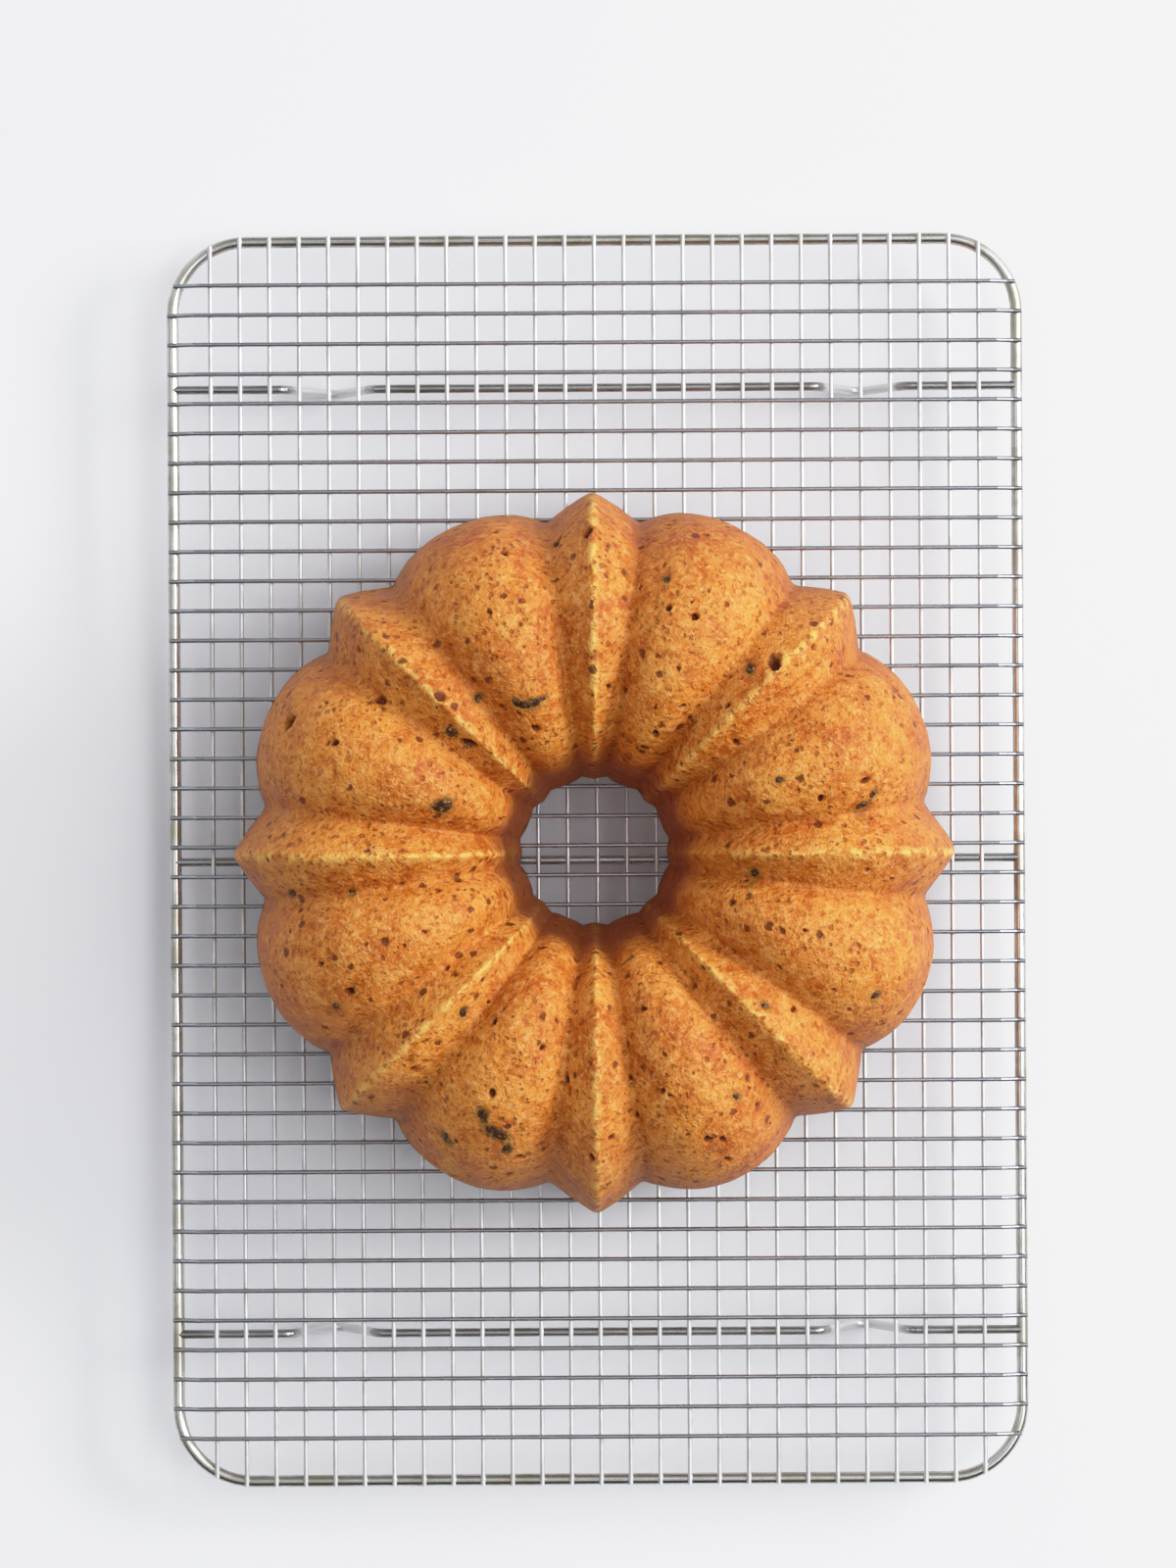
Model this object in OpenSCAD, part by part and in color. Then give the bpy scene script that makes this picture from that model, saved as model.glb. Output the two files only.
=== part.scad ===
// Chocolate chip ring cake resting on a wire cooling rack.
// Millimetres. +Z is up, +Y runs along the rack's long side, and the origin lies on the
// table under the middle of the rack. The rack is one welded assembly of round steel wires:
// a rim, three rails (two of them bent into feet), a lower layer of long wires and an upper
// layer of cross wires. The cake is loose and stands on the cross wires.

/* [Rim] */
// Rim width, centre to centre of the wire
rim_width = 286; // [280:1:292]
// Rim length, centre to centre of the wire
rim_length = 420; // [416:1:424]
// Radius of the rim's corners on the wire's centre line
rim_corner = 25; // [20:1:26]
// Diameter of the rim wire
rim_d = 4; // [3.5:0.1:4.5]

/* [Rails and feet] */
// Diameter of the rail wire
rail_d = 3; // [2.5:0.1:3.4]
// Distance of each foot rail from the middle of the rack
rail_offset = 160; // [158:0.5:162]
// Distance of each foot from the rack's centre line
foot_offset = 90; // [86:1:94]
// Drop of a foot below its rail, centre line to centre line
foot_drop = 19; // [16:0.5:24]
// Slope of a foot's legs, in degrees from level
foot_slope = 56; // [50:1:65]
// Radius of the bends at a foot's shoulders and toe
foot_bend = 4; // [3:0.5:5]
// Depth of the small flat worn on the underside of each foot
foot_flat = 0.25; // [0.1:0.05:0.4]

/* [Grid] */
// Diameter of the thin grid wires
grid_d = 1.5; // [1.2:0.1:1.8]
// Spacing of the grid wires
grid_pitch = 10; // [9.8:0.05:10]
// How far the wire ends run past the rim's centre line
grid_overrun = 1.5; // [0.5:0.1:1.9]
// Slope of the step down at the ends of the cross wires, in degrees
step_slope = 15; // [12:1:20]

/* [Cake] */
// Radius to the tips of the pointed ridges at the base
cake_tip_r = 121; // [116:0.5:125]
// Radius to the valleys between the flutes at the base
cake_valley_r = 111; // [108:0.5:114]
// Radius to the middle of the round lobes at the base
cake_lobe_r = 118.5; // [115:0.5:122]
// Height of the cake
cake_height = 88; // [80:1:96]
// Radius of the crown, where the cake is highest
crown_r = 70; // [66:1:74]
// Radius of the hole at the base
hole_base_r = 25.5; // [24:0.5:29]
// Radius of the hole where its wall meets the crown's inner slope
hole_top_r = 34; // [31:0.5:37]
// Height of that meeting line
hole_top_z = 50; // [46:1:60]
// How far the thin edge round the base spreads
base_spread = 1.2; // [0.4:0.1:2]
// Half the angle that a pointed ridge takes, in degrees
ridge_half_angle = 8; // [7:0.5:9]
// Distance of the cake's axis from the middle of the rack across its width
cake_shift_x = -1; // [-5:0.5:5]
// Distance of the cake's axis from the middle of the rack along its length
cake_shift_y = 3; // [-5:0.5:5]
// Gap that keeps the loose cake and the wires apart
seat_gap = 0.1; // [0.05:0.05:0.3]

/* [Chocolate chips] */
// Diameter of a chip at its base
chip_d = 7; // [5:0.5:8]
// Number of chips baked into the crumb
inner_chip_count = 24; // [12:1:36]

/* [Hidden] */
$fn = 48;

long_wire_count = 27;
cross_pair_count = 20;
flute_pairs = 8;
period = 360 / flute_pairs;
lobe_half_angle = period / 2 - ridge_half_angle;

// How much wider than its wire the bead at a plain corner is
corner_bead = 1.02;
// Sides of a swept wire, and the largest turn between its rings in degrees
sweep_sides = 24;
sweep_step = 10;

// Levels, from the table up
rail_z = rail_d / 2 - foot_flat + foot_drop;
rim_top_z = rail_z + rail_d / 2;
rim_z = rim_top_z - rim_d / 2;
long_wire_z = rim_top_z + grid_d / 2;
cross_wire_z = long_wire_z + grid_d;
rack_top_z = cross_wire_z + grid_d / 2;
cake_z = rack_top_z + seat_gap;

// The side wall of the cake leans in a little below the shoulder, and its lowest part
// spreads out again
side_wall_z = 14;
side_draft = 1;
spread_z = 3;

// How far the flutes stand out from the valleys: at the side, how much further halfway up
// the shoulder, on the crown, at the top of the hole and inside the hole
ridge_side = cake_tip_r - cake_valley_r;
lobe_side = cake_lobe_r - cake_valley_r;
flute_shoulder = 3;
flute_crown = 9;
flute_lip = 3.5;
flute_hole = 1.2;
shoulder_power = 2.3;
lobe_power = 2.3;

// Samples of the cake's surface
side_steps = 3;
shoulder_steps = 9;
slope_steps = 6;
hole_steps = 4;
lobe_steps = 8;

// Chips that show on the surface: angle in degrees, distance from the axis, and how much
// smaller than a whole chip each one is
shown_chips = [
    [47, 88, 0.8], [136, 57, 0.9], [162, 53, 1.0], [112, 55, 1.0], [156, 110, 0.8],
    [10, 91, 1.0], [91, 106, 0.7], [251, 100, 1.0], [273, 97, 0.8], [292, 104, 0.8],
    [211, 94, 0.7], [158, 37, 0.7], [355, 50, 0.8], [114, 45, 0.6], [62, 46, 0.6],
    [134, 74, 0.7], [145, 87, 0.7], [318, 72, 0.7], [300, 84, 0.6], [230, 66, 0.7],
    [22, 64, 0.6], [333, 100, 0.7], [188, 78, 0.6], [75, 92, 0.6]
];

wire_steel = "lightsteelblue";
crust_brown = "peru";
chocolate = "saddlebrown";

function two_digits(n) = n < 10 ? str("0", n) : str(n);
function long_wire_name(i) = str("long_wire_", two_digits(i + 1));
function cross_pair_name(i) = str("cross_wire_pair_", two_digits(i + 1));

// ---- Bent wire ----
// A wire lies in the XZ plane. Each of its steps is a straight length, then a turn in
// degrees (positive is upwards) on a bend radius, or on no radius for a plain corner.

function along(h) = [cos(h), sin(h)];
function left_of(h) = [-sin(h), cos(h)];

// For each step: its start, its heading in degrees, and its bend's start and centre
function wire_points(steps, at, heading, i = 0) =
    i == len(steps) ? [] :
    let (turn = steps[i][1],
         bend_from = at + steps[i][0] * along(heading),
         centre = bend_from + sign(turn) * steps[i][2] * left_of(heading),
         bend_to = centre - sign(turn) * steps[i][2] * left_of(heading + turn))
    concat([[at, heading, bend_from, centre]],
           wire_points(steps, turn == 0 ? bend_from : bend_to, heading + turn, i + 1));

module in_plane(p) translate([p[0], 0, p[1]]) children();

// Straight rods and true arcs, with a slight bead at each plain corner
module jointed_wire(d, steps, at) {
    points = wire_points(steps, at, 0);
    for (i = [0 : len(steps) - 1]) {
        straight = steps[i][0];
        turn = steps[i][1];
        bend_r = steps[i][2];
        h = points[i][1];
        if (straight > 0)
            in_plane(points[i][0]) rotate([0, 90 - h, 0]) cylinder(d = d, h = straight);
        if (turn != 0 && bend_r > 0)
            in_plane(points[i][3])
                rotate([90, 0, 0])
                    rotate_extrude(angle = abs(turn), start = h - 90 * sign(turn) + min(turn, 0))
                        translate([bend_r, 0]) circle(d = d);
        if (turn != 0 && bend_r == 0)
            in_plane(points[i][2]) sphere(d = d * corner_bead);
    }
}

// Where a swept wire has its rings: each one's point and heading
function sweep_rings(steps, at) =
    let (points = wire_points(steps, at, 0), last = len(steps) - 1)
    concat(
        [[at, 0]],
        [for (i = [0 : last]) if (steps[i][1] != 0)
            let (turn = steps[i][1], count = ceil(abs(turn) / sweep_step))
            for (k = [0 : count])
                let (h = points[i][1] + turn * k / count)
                [points[i][3] - sign(turn) * steps[i][2] * left_of(h), h]],
        [[points[last][0] + steps[last][0] * along(points[last][1]), points[last][1]]]
    );

// The same wire as one smooth tube
module swept_wire(d, steps, at) {
    rings = sweep_rings(steps, at);
    n = sweep_sides;
    points = [for (ring = rings) for (j = [0 : n - 1])
        let (p = ring[0] + d / 2 * cos(360 * j / n) * left_of(ring[1]))
        [p[0], d / 2 * sin(360 * j / n), p[1]]];
    walls = [for (i = [0 : len(rings) - 2]) for (j = [0 : n - 1])
        let (a = i * n, k = (j + 1) % n)
        [a + j, a + k, a + n + k, a + n + j]];
    start_cap = [[for (j = [0 : n - 1]) n - 1 - j]];
    end_cap = [[for (j = [0 : n - 1]) (len(rings) - 1) * n + j]];
    polyhedron(points = points, faces = concat(walls, start_cap, end_cap), convexity = 6);
}

// ---- Rack ----

// How far the rim's centre line reaches across at a distance along it, for a rim that is
// 2 * half_across wide and 2 * half_along long
function rim_reach(along, half_across, half_along) =
    let (past = abs(along) - (half_along - rim_corner))
    past <= 0 ? half_across
              : half_across - rim_corner + sqrt(rim_corner * rim_corner - past * past);

module rim_frame() {
    side = rim_length - 2 * rim_corner;
    end = rim_width - 2 * rim_corner;
    color(wire_steel)
        translate([0, 0, rim_z])
            rotate([-90, 0, 0])
                jointed_wire(rim_d, [
                    [end, 90, rim_corner], [side, 90, rim_corner],
                    [end, 90, rim_corner], [side, 90, rim_corner]
                ], [-end / 2, -rim_length / 2]);
}

// The two long sides of the rim as plain bars, to cope the ends of the rails
module rim_sides() {
    for (s = [-1, 1])
        translate([s * rim_width / 2, -rim_length / 2, rim_z])
            rotate([-90, 0, 0]) cylinder(d = rim_d, h = rim_length);
}

module foot_rail(y) {
    rise = 2 * foot_bend * (1 - cos(foot_slope));
    leg = (foot_drop - rise) / sin(foot_slope);
    half_foot = 2 * foot_bend * sin(foot_slope) + leg * cos(foot_slope);
    outer = rim_width / 2 - foot_offset - half_foot;
    middle = 2 * (foot_offset - half_foot);
    color(wire_steel)
        difference() {
            translate([0, y, 0])
                swept_wire(rail_d, [
                    [outer, -foot_slope, foot_bend],
                    [leg, 2 * foot_slope, foot_bend],
                    [leg, -foot_slope, foot_bend],
                    [middle, -foot_slope, foot_bend],
                    [leg, 2 * foot_slope, foot_bend],
                    [leg, -foot_slope, foot_bend],
                    [outer, 0, 0]
                ], [-rim_width / 2, rail_z]);
            rim_sides();
            translate([-rim_width / 2, y - rail_d, -rail_d])
                cube([rim_width, 2 * rail_d, rail_d]);
        }
}

module centre_rail() {
    color(wire_steel)
        difference() {
            translate([-rim_width / 2, 0, rail_z])
                rotate([0, 90, 0]) cylinder(d = rail_d, h = rim_width);
            rim_sides();
        }
}

module long_wire(i) {
    x = grid_pitch * (i - (long_wire_count - 1) / 2);
    reach = rim_reach(x, rim_length / 2, rim_width / 2) + grid_overrun;
    color(wire_steel)
        translate([x, -reach, long_wire_z])
            rotate([-90, 0, 0]) cylinder(d = grid_d, h = 2 * reach);
}

// A cross wire lies on the long wires and steps down at both ends to the top of the rim
module cross_wire(y) {
    reach = rim_reach(y, rim_width / 2, rim_length / 2) + grid_overrun;
    landing = 3;
    slant = grid_d / sin(step_slope);
    level = 2 * (reach - landing - slant * cos(step_slope));
    color(wire_steel)
        translate([0, y, 0])
            jointed_wire(grid_d, [
                [landing, step_slope, 0],
                [slant, -step_slope, 0],
                [level, -step_slope, 0],
                [slant, step_slope, 0],
                [landing, 0, 0]
            ], [-reach, long_wire_z]);
}

// The two wires at the same distance in front of and behind the middle of the rack
module cross_wire_pair(i) {
    y = grid_pitch * (i + 0.5);
    cross_wire(y);
    cross_wire(-y);
}

// ---- Cake ----

// The valleys' profile is a side wall, a shoulder, an inner slope and the hole's wall. Its
// parameter runs from 0 at the base's outer edge to 4 at the base's inner edge.
valley_crown_z = cake_height - flute_crown;
shoulder_r = cake_valley_r - side_draft;

function power_arc(u, power) = [pow(cos(90 * u), 2 / power), pow(sin(90 * u), 2 / power)];

function valley_point(t) =
    t <= 1 ? [cake_valley_r - side_draft * t, side_wall_z * t] :
    t <= 2 ? let (q = power_arc(t - 1, shoulder_power))
             [crown_r + (shoulder_r - crown_r) * q[0],
              side_wall_z + (valley_crown_z - side_wall_z) * q[1]] :
    t <= 3 ? let (q = power_arc(3 - t, 2))
             [crown_r - (crown_r - hole_top_r) * q[0],
              hole_top_z + (valley_crown_z - hole_top_z) * q[1]] :
             [hole_top_r + (hole_base_r - hole_top_r) * (t - 3), hole_top_z * (4 - t)];

// Outward unit normal of the profile
function valley_normal(t) =
    let (step = 0.02,
         a = valley_point(max(t - step, 0)),
         b = valley_point(min(t + step, 4)),
         d = b - a)
    [d[1], -d[0]] / norm(d);

function smooth(u) = let (v = min(max(u, 0), 1)) v * v * (3 - 2 * v);
function mix(a, b, u) = a + (b - a) * smooth(u);

// How far a flute stands out at t, for its depth at the side
function flute_depth(t, side_depth) =
    t <= 1 ? side_depth :
    t <= 2 ? mix(side_depth, flute_crown, t - 1) + flute_shoulder * pow(sin(180 * (t - 1)), 2) :
    t <= 3 ? mix(flute_crown, flute_lip, t - 2) : mix(flute_lip, flute_hole, (t - 3) * 2);

// Height above the valleys at an angle: a roof over each ridge and a round over each lobe
function relief(angle, t) =
    let (m = abs(angle - period * round(angle / period)))
    m <= ridge_half_angle
        ? flute_depth(t, ridge_side) * (1 - m / ridge_half_angle)
        : flute_depth(t, lobe_side)
            * (1 - pow((period / 2 - m) / lobe_half_angle, lobe_power));

function cake_point(angle, t) =
    let (p = valley_point(t) + valley_normal(t) * relief(angle, t),
         on_base = t <= 0 || t >= 4,
         r = on_base ? valley_point(t)[0] + sign(2 - t) * relief(angle, t) : p[0],
         z = on_base ? 0 : max(p[1], 0),
         spread = t <= 1 ? base_spread * max(1 - z / spread_z, 0) : 0)
    [(r + spread) * cos(angle), (r + spread) * sin(angle), z];

cake_angles = [for (k = [0 : flute_pairs - 1]) each concat(
    [k * period, k * period + ridge_half_angle / 2],
    [for (j = [0 : lobe_steps])
        k * period + ridge_half_angle + 2 * lobe_half_angle * j / lobe_steps],
    [k * period + period - ridge_half_angle / 2]
)];

cake_rows = concat(
    [0],
    [for (i = [0 : side_steps - 1]) let (low = spread_z / side_wall_z)
        low + (1 - low) * i / side_steps],
    [for (i = [0 : shoulder_steps - 1]) 1 + i / shoulder_steps],
    [for (i = [0 : slope_steps - 1]) 2 + i / slope_steps],
    [for (i = [0 : hole_steps]) 3 + i / hole_steps]
);

module cake_ring() {
    n = len(cake_angles);
    rows = len(cake_rows);
    points = [for (t = cake_rows) for (a = cake_angles) cake_point(a, t)];
    // The last row joins back to the first, which closes the flat base
    quads = [for (i = [0 : rows - 1]) for (j = [0 : n - 1])
        let (i2 = (i + 1) % rows, j2 = (j + 1) % n)
        [i * n + j, i2 * n + j, i2 * n + j2, i * n + j2]];
    color(crust_brown)
        translate([cake_shift_x, cake_shift_y, cake_z])
            polyhedron(points = points, faces = quads, convexity = 8);
}

// ---- Chocolate chips ----

// A drop-shaped chip that stands on its flat base
module chip(size) {
    r = size / 2;
    rotate_extrude($fn = 24)
        polygon([
            [0, 0], [0.85 * r, 0], [r, 0.25 * r], [0.9 * r, 0.6 * r],
            [0.45 * r, 1.15 * r], [0.15 * r, 1.5 * r], [0, 1.55 * r]
        ]);
}

// The profile parameter at which a flute at this angle lies at a given radius, on the
// part of the cake that is seen from above
function row_at_radius(angle, r, low = 0.2, high = 3.4, tries = 14) =
    tries == 0 ? (low + high) / 2 :
    let (middle = (low + high) / 2, p = cake_point(angle, middle))
    norm([p[0], p[1]]) > r ? row_at_radius(angle, r, middle, high, tries - 1)
                           : row_at_radius(angle, r, low, middle, tries - 1);

module surface_chips() {
    color(chocolate)
        translate([cake_shift_x, cake_shift_y, cake_z])
            for (c = shown_chips) {
                t = row_at_radius(c[0], c[1]);
                p = cake_point(c[0], t);
                lean = valley_normal(t);
                size = chip_d * c[2];
                translate(p)
                    rotate([0, 90 - atan2(lean[1], lean[0]), c[0]])
                        translate([0, 0, -size / 2]) chip(size);
            }
}

// The chips inside the crumb are spread by the golden angle and kept clear of the skin
module baked_in_chips() {
    golden_angle = 137.508;
    golden_part = 0.618034;
    inner_r = 46;
    outer_r = 92;
    low_z = 10;
    high_z = 52;
    color(chocolate)
        translate([cake_shift_x, cake_shift_y, cake_z])
            for (i = [0 : inner_chip_count - 1]) {
                spread = sqrt((i + 0.5) / inner_chip_count);
                lift = i * golden_part - floor(i * golden_part);
                rotate([0, 0, i * golden_angle])
                    translate([inner_r + (outer_r - inner_r) * spread, 0,
                               low_z + (high_z - low_z) * lift])
                        rotate([0, 40 * i, 70 * i]) chip(chip_d);
            }
}

rim_frame();
foot_rail(-rail_offset);  // foot_rail_front
foot_rail(rail_offset);  // foot_rail_back
centre_rail();
for (i = [0 : long_wire_count - 1])
    long_wire(i);
for (i = [0 : cross_pair_count - 1])
    cross_wire_pair(i);
cake_ring();
surface_chips();
baked_in_chips();
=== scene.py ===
import itertools
import math

import bmesh
import bpy
import numpy as np
from mathutils import Matrix, Vector


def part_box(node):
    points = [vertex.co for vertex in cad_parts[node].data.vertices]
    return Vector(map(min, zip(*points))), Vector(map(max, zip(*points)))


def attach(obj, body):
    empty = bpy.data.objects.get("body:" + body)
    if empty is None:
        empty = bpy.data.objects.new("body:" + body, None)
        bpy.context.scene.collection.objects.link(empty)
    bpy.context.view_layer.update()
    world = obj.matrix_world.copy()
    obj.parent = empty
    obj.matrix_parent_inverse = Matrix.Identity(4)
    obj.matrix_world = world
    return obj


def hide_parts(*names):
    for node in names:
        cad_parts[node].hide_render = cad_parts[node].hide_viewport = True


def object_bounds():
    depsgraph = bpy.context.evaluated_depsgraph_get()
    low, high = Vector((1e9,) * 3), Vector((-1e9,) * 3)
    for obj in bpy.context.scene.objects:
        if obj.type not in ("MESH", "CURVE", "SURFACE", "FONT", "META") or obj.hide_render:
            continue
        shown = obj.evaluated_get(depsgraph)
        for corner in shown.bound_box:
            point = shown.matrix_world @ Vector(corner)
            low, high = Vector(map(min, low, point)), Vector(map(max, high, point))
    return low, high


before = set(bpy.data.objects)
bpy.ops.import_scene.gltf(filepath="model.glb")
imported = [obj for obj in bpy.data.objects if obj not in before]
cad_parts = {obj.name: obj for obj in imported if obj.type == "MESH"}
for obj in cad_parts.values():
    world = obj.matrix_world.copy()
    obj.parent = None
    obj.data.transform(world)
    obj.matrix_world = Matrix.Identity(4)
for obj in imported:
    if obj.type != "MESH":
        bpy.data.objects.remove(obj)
cad_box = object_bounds()

MM = 0.001
TAU = 2 * math.pi
random = np.random.default_rng(7)

# ---- Sizes, from the frame ----

cake_low, cake_high = (np.array(corner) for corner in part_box("cake_ring"))
cake_centre = (cake_low + cake_high) / 2
cake_place = np.array([cake_centre[0], cake_centre[1], cake_low[2]])
cake_height = cake_high[2] - cake_low[2]
BASE_SPREAD = 1.2 * MM
cake_tip_r = (cake_high[0] - cake_low[0]) / 2 - BASE_SPREAD
GRID_WIRE_D = 1.5 * MM

# ---- The cake's shape ----
# Its surface is a grid of angles round the axis and places t along the profile: t runs from 0
# at the base's outer edge, over the shoulder from 1, the inner slope from 2 and the hole's
# wall from 3, to 4 at the base's inner edge.

FLUTE_PAIRS = 8
PERIOD = TAU / FLUTE_PAIRS
# Half the angle of a ridge, in degrees, on the side, on the crown and in the hole
RIDGE_HALF_ANGLES = (8, 8.8, 10)

RIDGE_SIDE = 10 * MM
LOBE_SIDE = 7.5 * MM
valley_r = cake_tip_r - RIDGE_SIDE
SIDE_DRAFT = 1 * MM
shoulder_r = valley_r - SIDE_DRAFT
CROWN_R = 70 * MM
HOLE_TOP_R = 34 * MM
HOLE_BASE_R = 25.5 * MM
SIDE_WALL_Z = 14 * MM
HOLE_TOP_Z = 50 * MM
FLUTE_SHOULDER = 3 * MM
FLUTE_CROWN = 9 * MM
FLUTE_LIP = 3.5 * MM
FLUTE_HOLE = 1.2 * MM
valley_crown_z = cake_height - FLUTE_CROWN
# How full the curves of the shoulder, of the slope into the hole and of a lobe are
SHOULDER_POWER = 2.3
SLOPE_POWER = 2
LOBE_POWER = 2.3
# Takes the knife edge off the ridges' crests
CREST_ROUNDING = 0.0012

# The base's thin edge spreads out, and the side is drawn in a little above it
EDGE_HEIGHT = 2.4 * MM
WAIST_DEPTH = 0.7 * MM
WAIST_Z = 5.5 * MM
WAIST_HEIGHT = 2.2 * MM

ANGLE_STEPS = 576
CRUST_ROWS = 112
BASE_ROWS = 12
# How many rows a length of the side, and of the hole's wall below its top, has beside the
# same length of the crown
SIDE_ROW_SHARE = 0.8
HOLE_ROW_SHARE = 0.45
HOLE_ROWS_FROM = 3.15

# The uneven surface of the crust: height, size of the bumps and seed of each layer of noise
SWELLS = [
    (0.45 * MM, 34 * MM, 3), (0.16 * MM, 9 * MM, 11), (0.10 * MM, 2.6 * MM, 21)
]


def smooth(u):
    """0 up to u = 0, 1 from u = 1, and an even curve between."""
    v = np.clip(u, 0, 1)
    return v * v * (3 - 2 * v)


def mix(a, b, u):
    return a + (b - a) * smooth(u)


def power_arc(u, power):
    """A quarter turn from (1, 0) to (0, 1). A power of 2 gives a round one, and more a fuller."""
    u = np.clip(u, 0, 1)
    return np.cos(u * math.pi / 2) ** (2 / power), np.sin(u * math.pi / 2) ** (2 / power)


def valley_profile(t):
    """Radius and height of the valleys between the flutes at t."""
    side_x = valley_r - (valley_r - shoulder_r) * t
    side_z = SIDE_WALL_Z * t
    out, up = power_arc(t - 1, SHOULDER_POWER)
    shoulder_x = CROWN_R + (shoulder_r - CROWN_R) * out
    shoulder_z = SIDE_WALL_Z + (valley_crown_z - SIDE_WALL_Z) * up
    out, up = power_arc(3 - t, SLOPE_POWER)
    slope_x = CROWN_R - (CROWN_R - HOLE_TOP_R) * out
    slope_z = HOLE_TOP_Z + (valley_crown_z - HOLE_TOP_Z) * up
    wall_x = HOLE_TOP_R + (HOLE_BASE_R - HOLE_TOP_R) * (t - 3)
    wall_z = HOLE_TOP_Z * (4 - t)
    stage = [t <= 1, t <= 2, t <= 3]
    return (np.select(stage, [side_x, shoulder_x, slope_x], wall_x),
            np.select(stage, [side_z, shoulder_z, slope_z], wall_z))


def profile_normal(t):
    """The profile's outward direction at t, as its share outward and its share upward."""
    step = 0.02
    r0, z0 = valley_profile(np.maximum(t - step, 0))
    r1, z1 = valley_profile(np.minimum(t + step, 4))
    length = np.hypot(r1 - r0, z1 - z0)
    return (z1 - z0) / length, -(r1 - r0) / length


def flute_depth(t, side_depth):
    """How far a flute stands out from the valleys beside it at t."""
    swell = FLUTE_SHOULDER * np.sin(np.clip(t - 1, 0, 1) * math.pi) ** 2
    over_shoulder = mix(side_depth, FLUTE_CROWN, t - 1) + swell
    down_slope = mix(FLUTE_CROWN, FLUTE_LIP, t - 2)
    in_hole = mix(FLUTE_LIP, FLUTE_HOLE, (t - 3) * 2)
    return np.select([t <= 2, t <= 3], [over_shoulder, down_slope], in_hole)


def flute_phase(angle):
    """Angle from the nearest ridge's crest."""
    return np.abs(angle - PERIOD * np.round(angle / PERIOD))


def ridge_half_angle(t):
    """Half the angle that a ridge takes at t."""
    return np.radians(np.interp(t, (1, 2, 3), RIDGE_HALF_ANGLES))


def relief(angle, t):
    """Height above the valleys: a roof over each ridge and a round over each lobe."""
    m = flute_phase(angle)
    half = ridge_half_angle(t)
    roof = np.clip(1 - np.sqrt((m / half) ** 2 + CREST_ROUNDING), 0, 1)
    across = np.clip((PERIOD / 2 - m) / (PERIOD / 2 - half), 0, 1)
    dome = 1 - across ** LOBE_POWER
    ridge = flute_depth(t, RIDGE_SIDE) * roof
    lobe = flute_depth(t, LOBE_SIDE) * dome
    return np.where(m <= half, ridge, lobe)


# ---- Seeded noise ----

def lattice_value(cells, seed):
    """A repeatable random number from -1 to 1 for each whole-number cell."""
    x, y, z = (cells[:, k].astype(np.uint64) for k in range(3))
    h = x * np.uint64(73856093) ^ y * np.uint64(19349663) ^ z * np.uint64(83492791)
    h = (h ^ np.uint64(seed * 2654435761)) * np.uint64(0x9E3779B97F4A7C15)
    h ^= h >> np.uint64(29)
    h *= np.uint64(0xBF58476D1CE4E5B9)
    h ^= h >> np.uint64(32)
    return (h & np.uint64(0xFFFFFF)).astype(float) / 0x7FFFFF - 1


def soft_noise(points, size, seed):
    """Smooth noise from -1 to 1 whose bumps are about size metres across."""
    place = points / size + 1000
    cell = np.floor(place).astype(np.int64)
    part = place - cell
    fade = part * part * (3 - 2 * part)
    total = np.zeros(len(points))
    for corner in itertools.product((0, 1), repeat=3):
        weight = np.prod(np.where(np.array(corner) == 1, fade, 1 - fade), axis=1)
        total += weight * lattice_value(cell + np.array(corner), seed)
    return total


def rough_noise(points, size, seed, octaves=3):
    """Smooth noise with finer and fainter noise on it, each half the size of the last."""
    total = np.zeros(len(points))
    for k in range(octaves):
        total += soft_noise(points, size / 2 ** k, seed + k) / 2 ** k
    return total


# ---- What shows on the crust ----
# Places are (angle in degrees, distance from the axis in millimetres). A hole adds its length,
# width and depth in millimetres and its turn from the radial direction in degrees.

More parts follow.
